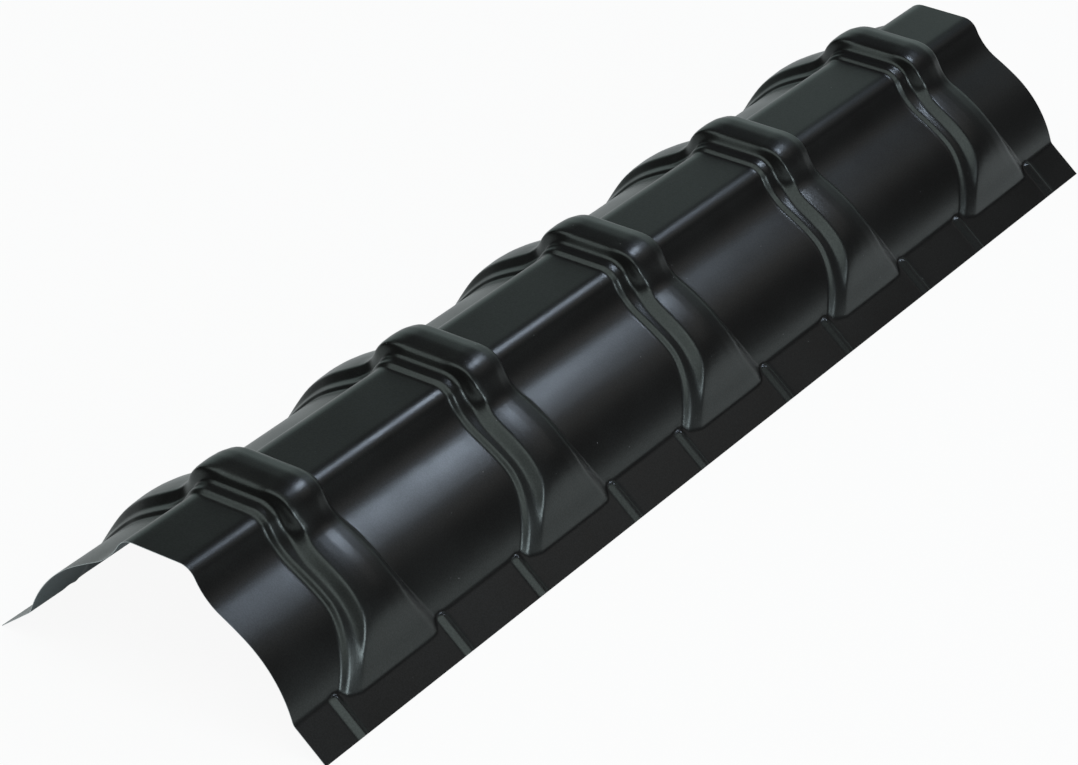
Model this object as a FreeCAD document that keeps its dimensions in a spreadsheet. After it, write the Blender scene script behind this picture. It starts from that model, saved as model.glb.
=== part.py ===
import FreeCAD, Part
import math
import os

# A stepped ridge cap pressed from one painted steel sheet, in millimetres.
# +Z is up, Y runs along the ridge and X across it; the origin is on the floor under the middle.

doc = FreeCAD.newDocument("ridge_cap")
dims = doc.addObject("Spreadsheet::Sheet", "dims")

values = [
    ("thickness", 0.5, "painted steel sheet"),
    ("step_pitch", 240, "one step to the next along the ridge"),
    ("step_count", 5, "steps in one cap"),
    ("top_width", 51, "flat on top"),
    ("shoulder_radius", 15, "bend between the flat and the flank"),
    ("shoulder_slope", 62, "steepest slope under the shoulder, degrees"),
    ("hollow_radius", 65, "inward curve under the shoulder"),
    ("flank_slope", 31, "slope of the straight part of the flank, degrees"),
    ("flank_width", 24, "straight part of the flank"),
    ("belly_radius", 100, "outward curve of the lower flank"),
    ("foot_slope", 74, "slope where the flank meets the flange, degrees"),
    ("flange_slope", 39, "slope of the flange, degrees"),
    ("flange_width", 39, "flange from its bend to its outer edge"),
    ("collar_toe", 81.5, "near end of a step to the foot of the collar's lip"),
    ("collar_back", 157, "near end of a step to the back of the collar"),
    ("lip_height", 3.6, "first lip of the collar"),
    ("tread_length", 10, "lip to the rise behind it"),
    ("rise_length", 13, "rise from the tread to the crest"),
    ("crest_height", 15.2, "crest of the collar above the flank"),
    ("fall_length", 26, "fall behind the crest"),
    ("foot_height", 6.6, "collar above the flank at its foot"),
    ("front_flare", 23, "widening of the collar's foot towards the near end"),
    ("back_flare", 22, "widening of the collar's foot towards the far end"),
    ("bead_width", 13, "bead across the flange"),
    ("bead_height", 3, "bead above the flange"),
    ("bead_near", 47, "near end of a step to its first bead"),
    ("bead_far", 185, "near end of a step to its second bead"),
    ("bead_gap", 1.5, "bead to the bend of the flange"),
]
for row, (name, value, note) in enumerate(values, start=1):
    dims.set("A%d" % row, note)
    dims.set("B%d" % row, str(value))
    dims.setAlias("B%d" % row, name)
doc.recompute()


def dim(name):
    return float(dims.get(name))


def vector(x, y, z):
    return FreeCAD.Vector(x, y, z)


thickness = dim("thickness")
pitch = dim("step_pitch")
count = int(dim("step_count"))
near_end = -pitch * count / 2
far_end = pitch * count / 2

# Half of the cross-section as legs from the ridge line down to the bend of the flange.
# A leg has its length and the slopes, in radians, at its two ends.

steep = math.radians(dim("shoulder_slope"))
gentle = math.radians(dim("flank_slope"))
foot_slope = math.radians(dim("foot_slope"))
flange_slope = math.radians(dim("flange_slope"))
legs = [
    ("flat", dim("top_width") / 2, 0.0, 0.0),
    ("shoulder", dim("shoulder_radius") * steep, 0.0, steep),
    ("hollow", dim("hollow_radius") * (steep - gentle), steep, gentle),
    ("flank", dim("flank_width"), gentle, gentle),
    ("belly", dim("belly_radius") * (foot_slope - gentle), gentle, foot_slope),
]


def leg_end(start, leg, share):
    x, z = start
    name, length, first, last = leg
    turn = (last - first) * share
    if turn == 0:
        return x + length * share * math.cos(first), z - length * share * math.sin(first)
    radius = length / (last - first)
    across = radius * (math.sin(first + turn) - math.sin(first))
    down = radius * (math.cos(first) - math.cos(first + turn))
    return x + across, z - down


starts = [(0.0, 0.0)]
for leg in legs:
    starts.append(leg_end(starts[-1], leg, 1.0))
foot_x, foot_z = starts[-1]

flange_run = vector(math.cos(flange_slope), 0, -math.sin(flange_slope))
flange_up = vector(math.sin(flange_slope), 0, math.cos(flange_slope))
bend = foot_slope - flange_slope
lift = dim("flange_width") * math.sin(flange_slope) + thickness * math.cos(flange_slope) - foot_z

# The collar is drawn twice, over the top and at its foot, as handles of place and height.
# A straight band of it takes two handles and a curved one three.

toe = dim("collar_toe")
back = dim("collar_back")
lip = dim("lip_height")
crest = dim("crest_height")
foot = dim("foot_height")
rise = dim("rise_length")
fall = dim("fall_length")
tread_end = toe + dim("tread_length")
rise_end = tread_end + rise
fall_start = back - fall
top_line = [
    (toe, 0.0),
    (toe + 0.9 * lip, lip),
    (tread_end, 1.15 * lip),
    (tread_end + 0.62 * rise, 0.79 * crest),
    (rise_end - 0.15 * rise, 0.95 * crest),
    (rise_end + 0.25 * rise, 0.965 * crest),
    ((rise_end + fall_start) / 2, crest),
    (fall_start, 0.965 * crest),
    (fall_start + 0.55 * fall, 0.88 * crest),
    (fall_start + 0.75 * fall, 0.53 * crest),
    (back, 0.0),
]
bands = "straight straight straight curved straight straight curved straight".split()
foot_heights = [0, 0.75, 0.95, 1, 1, 1, 1, 1, 1, 0.6, 0]
foot_line = []
for (place, height), share in zip(top_line, foot_heights):
    flare = -dim("front_flare") if place < fall_start else dim("back_flare")
    foot_line.append((place + flare, share * foot))


def inside(line):
    ends = [(line[0][0] - 9, 0.0)] + line + [(line[-1][0] + 9, 0.0)]
    moved = []
    for before, here, after in zip(ends, ends[1:], ends[2:]):
        a = math.atan2(here[1] - before[1], here[0] - before[0])
        b = math.atan2(after[1] - here[1], after[0] - here[0])
        reach = thickness / math.cos((b - a) / 2)
        middle = (a + b) / 2
        moved.append((here[0] + reach * math.sin(middle), here[1] - reach * math.cos(middle)))
    return moved


# A skin line crosses the section at one pair of handles.


def skin_point(k, share, line, depth):
    name, length, first, last = legs[k]
    (top_y, top_h), (foot_y, foot_h) = line
    x, z = leg_end(starts[k], legs[k], share)
    slope = first + (last - first) * share
    down = share if name == "belly" else 0.0
    fade = down * down * (3 - 2 * down)
    spread = down * down * (1 + down) / 2
    y = top_y + (foot_y - top_y) * spread
    height = top_h + (foot_h - top_h) * fade
    slide = fade * (height * math.cos(bend) + depth) / math.sin(bend)
    px = x + height * math.sin(slope) + slide * math.cos(slope)
    pz = z + height * math.cos(slope) - slide * math.sin(slope)
    return vector(px, y, pz + lift)


def leg_poles(k, line, depth):
    name, length, first, last = legs[k]
    turn = abs(last - first)
    bow = 4 * math.tan(turn / 4) / turn if turn else 1.0
    step = 0.001
    a = skin_point(k, 0.0, line, depth)
    b = skin_point(k, 1.0, line, depth)
    leave = (skin_point(k, step, line, depth) - a) * (bow / 3 / step)
    arrive = (b - skin_point(k, 1 - step, line, depth)) * (bow / 3 / step)
    return [a, a + leave, b - arrive, b]


def mirrored(poles):
    return [vector(-p.x, p.y, p.z) for p in reversed(poles)]


def skin_line(line, depth):
    right = [leg_poles(k, line, depth) for k in range(1, len(legs))]
    left = [mirrored(poles) for poles in reversed(right)]
    edge = right[0][0]
    flat = [vector(edge.x * k, edge.y, edge.z) for k in (-1, -1 / 3, 1 / 3, 1)]
    return left + [flat] + right


def shifted(lines, y):
    return [[[p + vector(0, y, 0) for p in poles] for poles in line] for line in lines]


def level(line, y):
    return [[vector(p.x, y, p.z) for p in poles] for poles in line]


def patch(lines, k):
    grid = [line[k] for line in lines]
    degree = len(grid) - 1
    surface = Part.BSplineSurface()
    surface.buildFromPolesMultsKnots(
        grid, [degree + 1] * 2, [4, 4], [0, 1], [0, 1], False, False, degree, 3
    )
    return surface


def curve(poles):
    line = Part.BezierCurve()
    line.setPoles(poles)
    return line.toShape()


def flange_tip(sign, y, depth):
    tip = vector(foot_x, 0, foot_z + lift) + flange_run * dim("flange_width") - flange_up * depth
    return vector(sign * tip.x, y, tip.z)


# Outer and inner skin, each a row of plain and collar strips with a flat flange at both sides.

faces = []
end_edges = {near_end: [], far_end: []}
for depth in (0.0, thickness):
    top = inside(top_line) if depth else top_line
    low = inside(foot_line) if depth else foot_line
    collar = [skin_line(line, depth) for line in zip(top, low)]
    strips = []
    last = level(collar[0], near_end)
    for k in range(count):
        lines = shifted(collar, near_end + k * pitch)
        strips.append([last, lines[0]])
        first = 0
        for band in bands:
            last_handle = first + (2 if band == "curved" else 1)
            strips.append(lines[first : last_handle + 1])
            first = last_handle
        last = lines[-1]
    strips.append([last, level(collar[0], far_end)])
    bend_lines = {-1: [], 1: []}
    for lines in strips:
        patches = [patch(lines, k) for k in range(len(lines[0]))]
        faces += [surface.toShape() for surface in patches]
        bend_lines[-1].append(patches[0].vIso(0.0).toShape())
        bend_lines[1].append(patches[-1].vIso(1.0).toShape())
    for sign, edges in bend_lines.items():
        near_tip = flange_tip(sign, near_end, depth)
        far_tip = flange_tip(sign, far_end, depth)
        near_edge = Part.makeLine(near_tip, edges[0].Vertexes[0].Point)
        far_edge = Part.makeLine(edges[-1].Vertexes[-1].Point, far_tip)
        tip_edge = Part.makeLine(far_tip, near_tip)
        faces.append(Part.Face(Part.Wire(edges + [far_edge, tip_edge, near_edge])))
        end_edges[near_end].append(near_edge)
        end_edges[far_end].append(far_edge)
    for y in end_edges:
        end_edges[y] += [curve(poles) for poles in level(collar[0], y)]

for sign in (-1, 1):
    corners = []
    for y, depth in ((near_end, 0), (far_end, 0), (far_end, thickness), (near_end, thickness)):
        corners.append(flange_tip(sign, y, depth))
    faces.append(Part.Face(Part.makePolygon(corners + corners[:1])))
    end_edges[near_end].append(Part.makeLine(corners[0], corners[3]))
    end_edges[far_end].append(Part.makeLine(corners[1], corners[2]))
for edges in end_edges.values():
    faces.append(Part.Face(Part.Wire(Part.__sortEdges__(edges))))

shell = Part.Shell(faces)
shell.sewShape()
sheet_solid = Part.Solid(shell)
if sheet_solid.Volume < 0:
    sheet_solid.reverse()
formed = doc.addObject("Part::Feature", "formed_sheet")
formed.Shape = sheet_solid

# One flange bead, drawn with the flange level and its bend at x = 0.

bead_radius = "((dims.bead_width / 2)^2 + dims.bead_height^2) / (2 * dims.bead_height)"


def bead_bar(name, inset):
    bar = doc.addObject("Part::Cylinder", name + "_bar")
    bar.Placement.Rotation = FreeCAD.Rotation(vector(0, 1, 0), 90)
    bar.setExpression("Height", "dims.flange_width")
    tip = doc.addObject("Part::Sphere", name + "_tip")
    tip.Placement.Rotation = FreeCAD.Rotation(vector(1, 0, 0), 90)
    for item in (bar, tip):
        item.setExpression("Radius", "%s - %s" % (bead_radius, inset))
        item.setExpression("Placement.Base.x", "dims.bead_gap + dims.bead_width / 2")
        item.setExpression("Placement.Base.z", "dims.bead_height - (%s)" % bead_radius)
    joined = doc.addObject("Part::Fuse", name)
    joined.Base = bar
    joined.Tool = tip
    return joined


bead_outside = bead_bar("bead_outside", "0")
bead_inside = bead_bar("bead_inside", "dims.thickness")
bead_wall = doc.addObject("Part::Cut", "bead_wall")
bead_wall.Base = bead_outside
bead_wall.Tool = bead_inside
bead_room = doc.addObject("Part::Box", "bead_room")
bead_room.setExpression("Length", "dims.flange_width")
bead_room.setExpression("Width", "dims.bead_width * 2")
bead_room.setExpression("Height", "dims.bead_height + dims.thickness + 1")
bead_room.setExpression("Placement.Base.y", "-dims.bead_width")
bead_room.setExpression("Placement.Base.z", "-dims.thickness")
bead = doc.addObject("Part::Common", "bead")
bead.Base = bead_wall
bead.Tool = bead_room
doc.recompute()


def bead_copies(shape):
    tilt = FreeCAD.Rotation(vector(0, 1, 0), dim("flange_slope"))
    copies = []
    for k in range(count):
        for place in (dim("bead_near"), dim("bead_far")):
            at = vector(foot_x, near_end + k * pitch + place, foot_z + lift)
            one = shape.copy()
            one.Placement = FreeCAD.Placement(at, tilt).multiply(one.Placement)
            copies.append(one)
            copies.append(one.mirror(vector(0, 0, 0), vector(1, 0, 0)))
    return copies


bead_seats = doc.addObject("Part::Feature", "bead_seats")
bead_seats.Shape = Part.makeCompound(bead_copies(bead_outside.Shape))
beads = doc.addObject("Part::Feature", "beads")
beads.Shape = Part.makeCompound(bead_copies(bead.Shape))

opened = doc.addObject("Part::Cut", "opened_sheet")
opened.Base = formed
opened.Tool = bead_seats
cap = doc.addObject("Part::MultiFuse", "cap")
cap.Shapes = [opened, beads]
cap.Refine = True
cap.Label = "ridge_cap"
doc.recompute()

for item in doc.Objects:
    if "Invalid" in item.State or "Error" in item.State:
        raise RuntimeError(item.Name + " did not build")
    if hasattr(item, "Shape"):
        if item.Shape.isNull() or not item.Shape.isValid():
            raise RuntimeError(item.Name + " has no sound shape")
if len(cap.Shape.Solids) != 1:
    raise RuntimeError("the cap is not one piece")

os.makedirs("parts", exist_ok=True)
cap.Shape.Solids[0].exportStep("parts/ridge_cap.step")
print("ridge cap", cap.Shape.BoundBox, "volume", cap.Shape.Volume)
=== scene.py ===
import math

import bmesh
import bpy
from mathutils import Matrix, Vector


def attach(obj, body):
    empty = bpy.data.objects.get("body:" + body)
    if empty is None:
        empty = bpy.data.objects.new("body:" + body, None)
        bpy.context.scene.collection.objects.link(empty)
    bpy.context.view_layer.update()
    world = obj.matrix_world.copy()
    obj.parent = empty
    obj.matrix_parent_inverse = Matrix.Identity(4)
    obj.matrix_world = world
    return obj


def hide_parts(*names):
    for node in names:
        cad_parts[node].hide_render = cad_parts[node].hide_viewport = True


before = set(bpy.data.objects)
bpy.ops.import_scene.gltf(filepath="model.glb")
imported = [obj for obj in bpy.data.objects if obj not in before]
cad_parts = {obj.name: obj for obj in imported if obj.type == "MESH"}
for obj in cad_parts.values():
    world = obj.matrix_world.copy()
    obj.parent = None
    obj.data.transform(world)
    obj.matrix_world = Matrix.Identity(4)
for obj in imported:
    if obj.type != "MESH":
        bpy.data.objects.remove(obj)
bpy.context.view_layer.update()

mmPerMetre = 1000

# the pressed sheet, in millimetres and degrees
# it follows the CAD sheet to about 2 mm, and to 6 mm on the collars
capSheet = {
    "thickness": 0.5,
    "pitch": 240.0,
    "steps": 5,
    "topHalf": 22.4,
    "shoulderBend": (18.2, 0.0, 61.5),  # length, slope at its start and at its end
    "hollow": (33.8, 61.5, 27.0),
    "flank": (25.6, 27.0, 32.5),
    "belly": (75.0, 32.5, 73.0),
    "flangeSlope": 39.0,
    "flangeWidth": 39.0,
    "bendReach": 2.5,  # how far the rounding goes to both sides of the flange bend
    "beadWidth": 13.0,
    "beadHeight": 3.0,
    "beadRidge": 0.6,  # half the width of its crown
    "beadLean": 1.2,  # its crown is this far behind its middle
    "beadPlaces": (47.0, 185.0),  # along the step
    "beadGap": -2.5,  # from the flange bend to its inner end
    "beadSoftening": (-0.9, -0.45, 0.0, 0.45, 0.9),  # its profile is averaged over these offsets
}

# the collar's lines: places along the step and sizes over the top, on the flank and at the foot
# two values hold over the top and on the flank, where no note says otherwise
collar = {
    "toe": (83.3, 82.6, 56.0),
    "riseFoot": (98.6, 93.2, 73.5),
    "fallStart": (131.0, 131.0, 160.0),
    "fallKnee": (143.0, 145.0, 171.0),
    "fallSteep": (149.0, 151.4, 175.0),
    "back": (155.8, 158.2, 180.0),
    "lipWidth": (3.8, 3.5, 2.4),
    "lipHeight": (3.1, 3.2, 3.2),
    "treadHeight": (4.4, 4.6, 6.3),
    "riseWidth": (3.1, 8.8),
    "riseShare": (0.6, 0.86),  # the part of the crest's height that the rise reaches
    "crestHeight": (15.1, 12.8),
    "crestReach": (5.5, 9.0),  # from the top of the rise to the crest
    # where these change, walked from the ridge
    "topEnd": (16.0, 34.0),
    "swellStart": (24.0, 34.0),
    "riseWidens": (34.0, 64.0),
    "crestDrop": (42.0, 75.0),
    "flankStart": (55.0, 85.0),
    # and the part of the belly where these change
    "spreadStart": 0.2,
    "spreadPowers": (1.6, 1.7),  # how the foot flares to the front and to the back
    "footStart": (0.35, 1.0),
    "riseNarrows": (0.3, 0.82),
    "crestRunOut": (0.3, 0.86),
    "bellyRounding": (0.35, 0.7),
    "riseNarrowing": 0.88,  # by this share of its width
    "shoulderSwell": 1.3,  # more height on the shoulder
    "lipBack": (2.2, 0.25),  # how far behind the lip, and its share of the way up to the tread
    "frontDip": (0.03, 0.13),  # how much lower the crest is in front, and more so over the top
    "middleDip": 0.03,
    # shares of the crest's height where it has died out and where it is full
    "startHeight": (1.0, 0.965),
    "kneeHeight": (0.95, 0.81),
    "steepHeight": (0.6, 0.53),
    "lipRounding": 1.7,
    "rounding": (3.2, 1.8, 3.0),  # behind the lip: over the top, on the flank and on the belly
}

# how closely the grid follows the sheet
sheetGrid = {
    "collarBands": (5, 3, 4, 8, 6, 4, 4, 6, 6, 6),  # rows between the collar's handles
    "plainRows": 7,
    "rowGap": 0.7,  # rows of the plain strip keep this far apart
    "rowsBehind": [0.8 + k for k in range(12)],  # through the bead behind a collar
    "rowsBefore": [1.3, 2.6, 4.0] + [5.2 + k for k in range(14)],  # and the one before it
    "topShares": (0.0, 0.5, 0.85),
    "legColumns": (9, 7, 4, 18),  # shoulder bend, hollow, flank and belly
    "bendColumns": 4,
    "flangePlaces": (3.8, 5.0, 6.4, 8.0, 10.0, 14.0, 20.0, 27.0, 34.0, 39.0),
}

# the last three legs of the section, counted from the flat top
bellyLeg, bendLeg, flangeLeg = 4, 5, 6


def smoothShare(value, low, high):
    t = min(1.0, max(0.0, (value - low) / (high - low)))
    return t * t * (3 - 2 * t)


def betweenPoints(line, place):
    if place <= line[0][0]:
        return line[0][1]
    for (a, low), (b, high) in zip(line, line[1:]):
        if place <= b:
            return low + (high - low) * (place - a) / (b - a)
    return line[-1][1]


def softened(line, place, reach):
    weights = (1, 2, 3, 4, 3, 2, 1)
    middle = len(weights) // 2
    total = 0.0
    for k, weight in enumerate(weights):
        total += weight * betweenPoints(line, place + reach * (k - middle) / middle)
    return total / sum(weights)


def collarLine(form, walk, down):
    # handles of the collar at one place of the section
    # walk is in mm from the ridge, down is the share of the belly
    onTop = 1 - smoothShare(walk, *form["topEnd"])
    onFlank = smoothShare(walk, *form["flankStart"])
    toFoot = smoothShare(down, *form["footStart"])
    run = max(0.0, (down - form["spreadStart"]) / (1 - form["spreadStart"]))
    forward, backward = (run ** power for power in form["spreadPowers"])

    def blend(name, share):
        first, second = form[name]
        return first + (second - first) * share

    def place(name, spread):
        top, flank, foot = form[name]
        there = top + (flank - top) * onFlank
        return there + (foot - there) * spread

    tread, lip = place("treadHeight", toFoot), place("lipHeight", toFoot)
    toe, riseFoot = place("toe", forward), place("riseFoot", forward)
    lipTop = toe + place("lipWidth", toFoot)
    lipBack, climb = form["lipBack"]
    dropped = smoothShare(walk, *form["crestDrop"])
    swell = form["shoulderSwell"] * smoothShare(walk, *form["swellStart"]) * (1 - dropped)
    left = 1 - smoothShare(down, *form["crestRunOut"])
    crest = tread + (blend("crestHeight", dropped) + swell - tread) * left
    riseTop = tread + blend("riseShare", 1 - onTop) * (crest - tread)
    width = blend("riseWidth", smoothShare(walk, *form["riseWidens"]))
    narrowing = form["riseNarrowing"] * smoothShare(down, *form["riseNarrows"])
    rise = riseFoot + width * (1 - narrowing)
    crestStart = rise + blend("crestReach", onFlank)
    fallStart = place("fallStart", backward)
    dip, topDip = form["frontDip"]
    return [
        (toe, 0.0),
        (lipTop, lip),
        (lipTop + lipBack, lip + climb * (tread - lip)),
        (riseFoot, tread),
        (rise, riseTop),
        (crestStart, crest * (1 - dip * left - topDip * onTop)),
        ((crestStart + fallStart) / 2, crest * (1 - form["middleDip"] * onTop)),
        (fallStart, crest * blend("startHeight", left)),
        (place("fallKnee", backward), crest * blend("kneeHeight", left)),
        (place("fallSteep", backward), crest * blend("steepHeight", left)),
        (place("back", backward), 0.0),
    ]


def sheetRows(sheet, grid):
    # a row is (step, band, share); band -1 is the plain strip before the step's collar
    rows = []
    footToe, footBack = collar["toe"][-1], collar["back"][-1]
    bands = grid["collarBands"]
    for step in range(sheet["steps"] + 1):
        first, last = step == 0, step == sheet["steps"]
        start = 0.0 if first else footBack - sheet["pitch"]
        end = 0.0 if last else footToe
        span = end - start
        shares = [k / grid["plainRows"] for k in range(1, grid["plainRows"])]
        if not first:
            shares += [place / span for place in grid["rowsBehind"]]
        if not last:
            shares += [1 - place / span for place in grid["rowsBefore"]]
        kept = [0.0] if first else []
        for share in sorted(shares):
            near = min([abs(share - k) for k in kept] + [share, 1 - share])
            if near * span > grid["rowGap"]:
                kept.append(share)
        if last:
            kept.append(1.0)
        rows += [(step, -1, share) for share in kept]
        if not last:
            for band, count in enumerate(bands):
                rows += [(step, band, k / count) for k in range(count)]
            rows.append((step, len(bands) - 1, 1.0))
    return rows


def rowPlace(sheet, line, row):
    step, band, share = row
    pitch = sheet["pitch"]
    if band >= 0:
        return step * pitch + line[band][0] + (line[band + 1][0] - line[band][0]) * share
    start = 0.0 if step == 0 else (step - 1) * pitch + line[-1][0]
    end = sheet["steps"] * pitch if step == sheet["steps"] else step * pitch + line[0][0]
    return start + (end - start) * share


def sectionLegs(sheet):
    legs = [(sheet["topHalf"], 0.0, 0.0)]
    for name in ("shoulderBend", "hollow", "flank", "belly"):
        length, first, last = sheet[name]
        legs.append((length, math.radians(first), math.radians(last)))
    return legs


def alongLeg(start, leg, share):
    length, first, last = leg
    turn = (last - first) * share
    if turn == 0:
        across = length * share * math.cos(first)
        down = length * share * math.sin(first)
    else:
        radius = length / (last - first)
        across = radius * (math.sin(first + turn) - math.sin(first))
        down = radius * (math.cos(first) - math.cos(first + turn))
    return start[0] + across, start[1] - down


def sectionColumns(grid, beforeBend):
    # (leg, share) from the ridge line outwards; on the flange it is mm from the bend
    columns = [(0, share) for share in grid["topShares"]]
    for leg, count in enumerate(grid["legColumns"], start=1):
        end = beforeBend if leg == bellyLeg else 1.0
        columns += [(leg, end * k / count) for k in range(count)]
    count = grid["bendColumns"]
    columns += [(bendLeg, k / count) for k in range(count + 1)]
    columns += [(flangeLeg, place) for place in grid["flangePlaces"]]
    return columns


def beadLift(sheet, out, along):
    half, height = sheet["beadWidth"] / 2, sheet["beadHeight"]
    roundEnd = sheet["beadGap"] + half
    lift = 0.0
    for place in sheet["beadPlaces"]:
        across = along - place - sheet["beadLean"]
        reach = half + math.copysign(sheet["beadLean"], -across)
        off = math.hypot(across, min(0.0, out - roundEnd))
        samples = []
        for offset in sheet["beadSoftening"]:
            share = (reach - abs(off + offset)) / (reach - sheet["beadRidge"])
            samples.append(height * min(1.0, max(0.0, share)))
        lift = max(lift, sum(samples) / len(samples))
    return lift


def pressSheet(sheet, grid):
    legs = sectionLegs(sheet)
    starts, walks = [(0.0, 0.0)], [0.0]
    for leg in legs:
        starts.append(alongLeg(starts[-1], leg, 1.0))
        walks.append(walks[-1] + leg[0])
    footX, footZ = starts[-1]
    flange = math.radians(sheet["flangeSlope"])
    bend = legs[bellyLeg][2] - flange
    width, reach = sheet["flangeWidth"], sheet["bendReach"]
    lift = width * math.sin(flange) + sheet["thickness"] * math.cos(flange) - footZ
    beforeBend = 1 - reach / legs[bellyLeg][0]
    columns = sectionColumns(grid, beforeBend)
    rows = sheetRows(sheet, grid)
    half = len(columns) - 1
    length = sheet["pitch"] * sheet["steps"]
    lines = {}

    def walked(leg, share):
        return walks[leg] + share * legs[leg][0]

    def lineAt(leg, share):
        key = (leg, share)
        if key not in lines:
            down = share if leg == bellyLeg else 0.0
            lines[key] = collarLine(collar, walked(leg, share), down)
        return lines[key]

    def formed(leg, share, row):
        line = lineAt(leg, share)
        y = rowPlace(sheet, line, row)
        inStep = y - row[0] * sheet["pitch"]
        atTop, onFlank, onBelly = collar["rounding"]
        pastTop = smoothShare(walked(leg, share), *collar["topEnd"])
        behind = atTop + (onFlank - atTop) * pastTop
        toBend = 0.0
        if leg == bellyLeg:
            behind += (onBelly - onFlank) * smoothShare(share, *collar["bellyRounding"])
            toBend = smoothShare(share, 0, 1)
        rounding = collar["lipRounding"]
        rounding += (behind - rounding) * smoothShare(inStep, line[2][0], line[3][0])
        height = softened(line, inStep, rounding)
        if row[1] < 0 and row[0] > 0:
            height = max(height, softened(line, inStep + sheet["pitch"], rounding))
        x, z = alongLeg(starts[leg], legs[leg], share)
        slope = legs[leg][1] + (legs[leg][2] - legs[leg][1]) * share
        slide = toBend * height * math.cos(bend) / math.sin(bend)
        return (
            x + height * math.sin(slope) + slide * math.cos(slope),
            y,
            z + height * math.cos(slope) - slide * math.sin(slope),
        )

    def onFlange(out, edge):
        bendOut = (edge[0] - footX) / math.cos(flange)
        place = bendOut + (width - bendOut) * out / width
        rise = beadLift(sheet, place, edge[1] % sheet["pitch"])
        return (
            footX + place * math.cos(flange) + rise * math.sin(flange),
            edge[1],
            footZ - place * math.sin(flange) + rise * math.cos(flange),
        )

    def pressed(column, row):
        leg, share = column
        if leg <= bellyLeg:
            return formed(leg, share, row)
        edge = formed(bellyLeg, 1.0, row)
        if leg == flangeLeg:
            return onFlange(share, edge)
        # the bend is a curve with its control point on the sharp edge
        ends = formed(bellyLeg, beforeBend, row), edge, onFlange(reach, edge)
        parts = ((1 - share) * (1 - share), 2 * share * (1 - share), share * share)
        return tuple(sum(p * v for p, v in zip(parts, values)) for values in zip(*ends))

    bm = bmesh.new()
    bmesh.ops.create_grid(bm, x_segments=2 * half, y_segments=len(rows) - 1, size=1.0)
    places = {}
    for vert in bm.verts:
        across = round((vert.co.x + 1) * half) - half
        along = round((vert.co.y + 1) / 2 * (len(rows) - 1))
        key = (abs(across), along)
        if key not in places:
            places[key] = pressed(columns[key[0]], rows[along])
        x, y, z = places[key]
        x = -x if across < 0 else x
        vert.co = Vector((x, y - length / 2, z + lift)) / mmPerMetre
    for face in bm.faces:
        face.smooth = True
    for edge in bm.edges:
        edge.smooth = not edge.is_boundary
    mesh = bpy.data.meshes.new("ridgeCapSheet")
    bm.to_mesh(mesh)
    bm.free()
    print("sheet pressed:", len(rows), "rows,", 2 * half + 1, "columns")
    return mesh


def newMaterial(name):
    material = bpy.data.materials.new(name)
    material.use_nodes = True
    return material, material.node_tree.nodes, material.node_tree.links


def rampNode(nodes, links, source, span, low, high):
    node = nodes.new("ShaderNodeMapRange")
    node.interpolation_type = "SMOOTHSTEP"
    node.inputs["From Min"].default_value, node.inputs["From Max"].default_value = span
    node.inputs["To Min"].default_value, node.inputs["To Max"].default_value = low, high
    links.new(source, node.inputs["Value"])
    return node.outputs[0]


def mixColour(nodes, links, factor, first, second):
    node = nodes.new("ShaderNodeMix")
    node.data_type = "RGBA"
    links.new(factor, node.inputs["Factor"])
    for name, value in (("A", first), ("B", second)):
        spot = next(s for s in node.inputs if s.name == name and s.type == "RGBA")
        if isinstance(value, bpy.types.NodeSocket):
            links.new(value, spot)
        else:
            spot.default_value = value
    return next(s for s in node.outputs if s.type == "RGBA")


# detail shared by the three finishes; sizes are in metres
surfaceDetail = {
    "grainSize": 0.0013,
    "grainDepth": 2,
    "grainSpan": (0.35, 0.65),  # the part of the noise that is used
    "grainHeight": 0.0002,
    "cloudSize": 0.07,
    "cloudDepth": 4,
    "cloudSpan": (0.3, 0.7),
    "speckSpacing": 0.0125,
    "speckReach": (0.02, 0.05),  # share of the spacing
    "speckChance": (0.4, 1.0),
}


def makeSurfaceDetail(detail):
    group = bpy.data.node_groups.new("surfaceDetail", "ShaderNodeTree")
    for name in ("Grain", "Cloud", "Specks"):
        group.interface.new_socket(name, in_out="OUTPUT", socket_type="NodeSocketFloat")
    nodes, links = group.nodes, group.links
    output = nodes.new("NodeGroupOutput")
    place = nodes.new("ShaderNodeTexCoord")
    for name, key in (("Grain", "grain"), ("Cloud", "cloud")):
        noise = nodes.new("ShaderNodeTexNoise")
        noise.inputs["Scale"].default_value = 1 / detail[key + "Size"]
        noise.inputs["Detail"].default_value = detail[key + "Depth"]
        links.new(place.outputs["Object"], noise.inputs["Vector"])
        links.new(noise.outputs["Fac"], output.inputs[name])
    cells = nodes.new("ShaderNodeTexVoronoi")
    cells.inputs["Scale"].default_value = 1 / detail["speckSpacing"]
    links.new(place.outputs["Object"], cells.inputs["Vector"])
    dots = rampNode(nodes, links, cells.outputs["Distance"], detail["speckReach"], 1.0, 0.0)
    split = nodes.new("ShaderNodeSeparateColor")
    links.new(cells.outputs["Color"], split.inputs[0])
    chance = rampNode(nodes, links, split.outputs[0], detail["speckChance"], 0.0, 1.0)
    shown = nodes.new("ShaderNodeMath")
    shown.operation = "MULTIPLY"
    links.new(dots, shown.inputs[0])
    links.new(chance, shown.inputs[1])
    links.new(shown.outputs[0], output.inputs["Specks"])
    return group


paintFinish = {
    "name": "blackPaint",
    "colours": ((0.0048, 0.0039, 0.0039, 1), (0.006, 0.0051, 0.0051, 1)),
    "speckColour": (0.16, 0.165, 0.17, 1),
    "roughness": (0.29, 0.33),
    "metallic": 0.0,
    "specularTint": (0.9, 1.0, 0.97, 1),
    "grainStrength": 0.22,
    "gloss": (0.45, 0.56),
}

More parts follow.
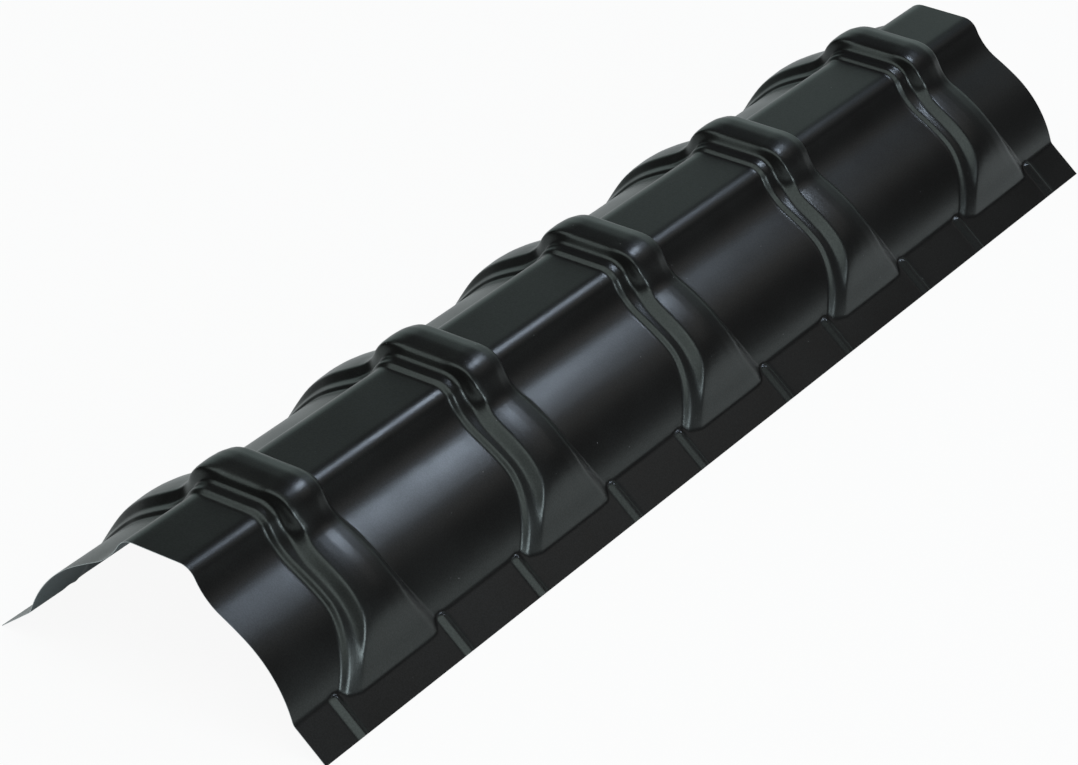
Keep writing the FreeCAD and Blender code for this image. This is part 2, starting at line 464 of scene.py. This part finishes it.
backCoatFinish = {
    "name": "backCoat",
    "colours": ((0.075, 0.1, 0.108, 1), (0.09, 0.118, 0.128, 1)),
    "speckColour": (0.12, 0.13, 0.135, 1),
    "roughness": (0.46, 0.54),
    "metallic": 0.0,
    "specularTint": (0.9, 1.0, 1.0, 1),
    "grainStrength": 0.1,
    "gloss": (0.45, 0.55),
}

cutEdgeFinish = {
    "name": "cutEdge",
    "colours": ((0.36, 0.39, 0.4, 1), (0.56, 0.6, 0.61, 1)),
    "speckColour": (0.1, 0.08, 0.07, 1),
    "roughness": (0.38, 0.55),
    "metallic": 0.35,
    "specularTint": (1.0, 1.0, 1.0, 1),
    "grainStrength": 0.25,
    "gloss": (0.4, 0.6),
}


def makeFinish(finish, detail, detailGroup):
    material, nodes, links = newMaterial(finish["name"])
    shader = nodes["Principled BSDF"]
    marks = nodes.new("ShaderNodeGroup")
    marks.node_tree = detailGroup
    grain, cloud, specks = (marks.outputs[name] for name in ("Grain", "Cloud", "Specks"))
    cloudy = mixColour(nodes, links, cloud, *finish["colours"])
    dusty = mixColour(nodes, links, specks, cloudy, finish["speckColour"])
    links.new(dusty, shader.inputs["Base Color"])
    roughness = rampNode(nodes, links, cloud, detail["cloudSpan"], *finish["roughness"])
    links.new(roughness, shader.inputs["Roughness"])
    gloss = rampNode(nodes, links, grain, detail["grainSpan"], *finish["gloss"])
    links.new(gloss, shader.inputs["Specular IOR Level"])
    shader.inputs["Metallic"].default_value = finish["metallic"]
    shader.inputs["Specular Tint"].default_value = finish["specularTint"]
    bump = nodes.new("ShaderNodeBump")
    bump.inputs["Strength"].default_value = finish["grainStrength"]
    bump.inputs["Distance"].default_value = detail["grainHeight"]
    links.new(grain, bump.inputs["Height"])
    links.new(bump.outputs["Normal"], shader.inputs["Normal"])
    return material


capMesh = pressSheet(capSheet, sheetGrid)
cap = bpy.data.objects.new("ridgeCap", capMesh)
bpy.context.scene.collection.objects.link(cap)
surfaceGroup = makeSurfaceDetail(surfaceDetail)
for finish in (paintFinish, backCoatFinish, cutEdgeFinish):
    capMesh.materials.append(makeFinish(finish, surfaceDetail, surfaceGroup))
wall = cap.modifiers.new("wall", "SOLIDIFY")
wall.thickness = capSheet["thickness"] / mmPerMetre
wall.offset = -1
wall.use_even_offset = True
wall.material_offset = 1  # the back coat
wall.material_offset_rim = 2  # the cut edge
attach(cap, "root")
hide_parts("ridge_cap")
print("cap in place")


studio = {
    "floorSize": 30.0,
    "floorColour": (0.56, 0.595, 0.59, 1),
    "floorGlow": 0.93,  # share of plain white seen by the camera and through glass
    "glossyGlow": 0.25,  # and in reflections
    "wallTop": (0.385, 0.51),  # sine of the height where the pale wall ends
    "wallSide": (-0.15, 0.25),  # the wall is pale at the back left and dark to the right
    "wallBack": (0.1, 0.45),
    "wallLevel": 0.58,
    "wallColour": (0.82, 1.0, 0.97, 1),
    "darkLevel": 0.03,
    "fillLevel": 0.5,
}


def makeFloor(room):
    bm = bmesh.new()
    bmesh.ops.create_grid(bm, x_segments=1, y_segments=1, size=room["floorSize"] / 2)
    mesh = bpy.data.meshes.new("studioFloor")
    bm.to_mesh(mesh)
    bm.free()
    floor = bpy.data.objects.new("studioFloor", mesh)
    bpy.context.scene.collection.objects.link(floor)
    material, nodes, links = newMaterial("studioFloor")
    nodes.clear()
    output = nodes.new("ShaderNodeOutputMaterial")
    matte = nodes.new("ShaderNodeBsdfDiffuse")
    matte.inputs["Color"].default_value = room["floorColour"]
    glow = nodes.new("ShaderNodeEmission")
    glow.inputs["Strength"].default_value = 1.0
    blend = nodes.new("ShaderNodeMixShader")
    path = nodes.new("ShaderNodeLightPath")
    share = None
    rays = {
        "Is Camera Ray": "floorGlow",
        "Is Transmission Ray": "floorGlow",
        "Is Glossy Ray": "glossyGlow",
    }
    for ray, level in rays.items():
        part = nodes.new("ShaderNodeMath")
        part.operation = "MULTIPLY_ADD"
        links.new(path.outputs[ray], part.inputs[0])
        part.inputs[1].default_value = room[level]
        part.inputs[2].default_value = 0.0
        if share:
            links.new(share, part.inputs[2])
        share = part.outputs[0]
    links.new(share, blend.inputs["Fac"])
    links.new(matte.outputs[0], blend.inputs[1])
    links.new(glow.outputs[0], blend.inputs[2])
    links.new(blend.outputs[0], output.inputs["Surface"])
    mesh.materials.append(material)


def makeRoom(room):
    world = bpy.data.worlds.new("studioRoom")
    bpy.context.scene.world = world
    world.use_nodes = True
    nodes, links = world.node_tree.nodes, world.node_tree.links
    nodes.clear()
    output = nodes.new("ShaderNodeOutputWorld")
    place = nodes.new("ShaderNodeTexCoord")
    split = nodes.new("ShaderNodeSeparateXYZ")
    links.new(place.outputs["Generated"], split.inputs[0])
    height = rampNode(nodes, links, split.outputs["Z"], room["wallTop"], room["wallLevel"], 0.0)
    side = rampNode(nodes, links, split.outputs["X"], room["wallSide"], 1.0, 0.0)
    back = rampNode(nodes, links, split.outputs["Y"], room["wallBack"], 0.0, 1.0)
    corner = nodes.new("ShaderNodeMath")
    corner.operation = "MULTIPLY"
    links.new(side, corner.inputs[0])
    links.new(back, corner.inputs[1])
    wall = nodes.new("ShaderNodeMath")
    wall.operation = "MULTIPLY_ADD"
    links.new(height, wall.inputs[0])
    links.new(corner.outputs[0], wall.inputs[1])
    wall.inputs[2].default_value = room["darkLevel"]
    around = nodes.new("ShaderNodeBackground")
    around.inputs["Color"].default_value = room["wallColour"]
    links.new(wall.outputs[0], around.inputs["Strength"])
    fill = nodes.new("ShaderNodeBackground")
    fill.inputs["Strength"].default_value = room["fillLevel"]
    white = nodes.new("ShaderNodeBackground")
    white.inputs["Strength"].default_value = 1.0
    path = nodes.new("ShaderNodeLightPath")
    soft = nodes.new("ShaderNodeMixShader")
    links.new(path.outputs["Is Diffuse Ray"], soft.inputs["Fac"])
    links.new(around.outputs[0], soft.inputs[1])
    links.new(fill.outputs[0], soft.inputs[2])
    blend = nodes.new("ShaderNodeMixShader")
    links.new(path.outputs["Is Camera Ray"], blend.inputs["Fac"])
    links.new(soft.outputs[0], blend.inputs[1])
    links.new(white.outputs[0], blend.inputs[2])
    links.new(blend.outputs[0], output.inputs["Surface"])


softBoxes = [
    {"name": "backBox",
     "place": (0.287, 1.555, 1.96), "aim": (0.05, -0.3, 0.1),
     "size": (0.71, 0.2), "level": 30.0, "colour": (0.745, 0.816, 1.0)},
    {"name": "backGlow",
     "place": (1.35, 2.4, 2.3), "aim": (0.05, -0.2, 0.1),
     "size": (1.5, 1.2), "level": 0.4, "colour": (1.0, 0.9, 0.85)},
    {"name": "frontPanel",
     "place": (0.2, -0.87, 2.5), "aim": (0.2, 0.0, 0.1),
     "size": (4.4, 2.26), "level": 1.5, "colour": (0.92, 1.0, 0.98)},
    {"name": "rightPanel",
     "place": (2.2, -0.8, 2.25), "aim": (0.14, -0.1, 0.08),
     "size": (1.3, 1.2), "level": 1.0, "colour": (0.92, 1.0, 0.99)},
    {"name": "sideBox",
     "place": (3.65, -0.15, 1.15), "aim": (0.1, 0.0, 0.08),
     "size": (1.2, 0.9), "level": 13.0, "colour": (0.86, 0.94, 1.0)},
]


def makeSoftBox(box):
    light = bpy.data.lights.new(box["name"], "AREA")
    light.shape = "RECTANGLE"
    light.size, light.size_y = box["size"]
    light.energy = box["level"] * math.pi * light.size * light.size_y
    light.color = box["colour"]
    lamp = bpy.data.objects.new(box["name"], light)
    bpy.context.scene.collection.objects.link(lamp)
    lamp.location = box["place"]
    aim = Vector(box["aim"]) - Vector(box["place"])
    lamp.rotation_euler = aim.to_track_quat("-Z", "Y").to_euler()
    lamp.visible_camera = False


makeFloor(studio)
makeRoom(studio)
for box in softBoxes:
    makeSoftBox(box)
print("studio lit")


photoView = {
    "place": (1.5622, -2.4497, 1.6859),
    "azimuth": 33.51,
    "elevation": 30.25,
    "roll": -1.57,
    "lens": 128.64,
    "sensor": 36.0,
    "clipEnd": 100,
}


def makeCamera(view):
    turns = ("azimuth", "elevation", "roll")
    azimuth, elevation, roll = (math.radians(view[key]) for key in turns)
    forward = Vector((
        -math.sin(azimuth) * math.cos(elevation),
        math.cos(azimuth) * math.cos(elevation),
        -math.sin(elevation),
    ))
    level = Vector((math.cos(azimuth), math.sin(azimuth), 0))
    down = forward.cross(level)
    right = math.cos(roll) * level + math.sin(roll) * down
    up = math.sin(roll) * level - math.cos(roll) * down
    camera = bpy.data.objects.new("photoCamera", bpy.data.cameras.new("photoCamera"))
    bpy.context.scene.collection.objects.link(camera)
    turn = Matrix((right, up, -forward)).transposed().to_4x4()
    camera.matrix_world = Matrix.Translation(view["place"]) @ turn
    camera.data.sensor_fit = "HORIZONTAL"
    camera.data.sensor_width = view["sensor"]
    camera.data.lens = view["lens"]
    camera.data.clip_end = view["clipEnd"]
    bpy.context.scene.camera = camera


makeCamera(photoView)
bpy.context.scene.view_settings.view_transform = "Standard"
print("camera set")
